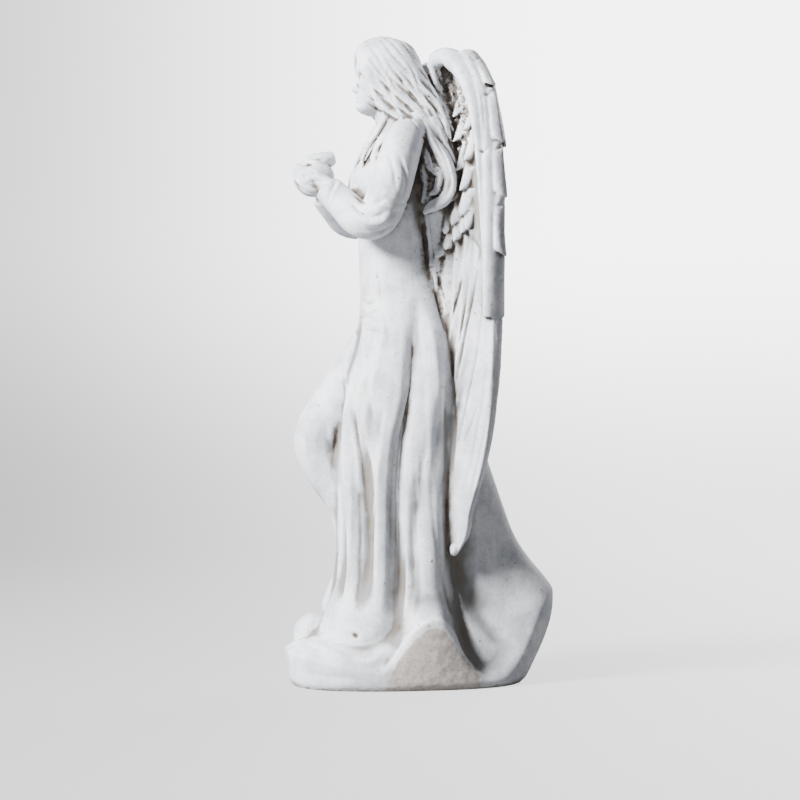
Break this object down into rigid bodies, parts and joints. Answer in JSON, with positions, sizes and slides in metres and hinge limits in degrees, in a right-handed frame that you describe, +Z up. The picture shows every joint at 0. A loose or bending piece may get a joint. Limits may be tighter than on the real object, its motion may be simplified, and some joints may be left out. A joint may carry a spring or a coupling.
{
  "type": "angel garden statue",
  "caption": "Standing winged angel in a long robe with one knee forward and a small bird in cupped hands, cast in one piece with a low base that stands it on a flat surface.",
  "frame": {"origin": "on the ground, under the middle of the statue's box", "axes": "+Z up along the figure's height, which is the longest extent; the angel faces -Y and its left side is +X"},
  "size_m": [0.1174, 0.1678, 0.3995],
  "materials": {
    "cast_stone": "matt white wash over cast stone, worn thin on the ridges, with brown-grey dirt in the recesses"
  },
  "bodies": {
    "root": {"angel_statue": "cast_stone"}
  },
  "joints": []
}
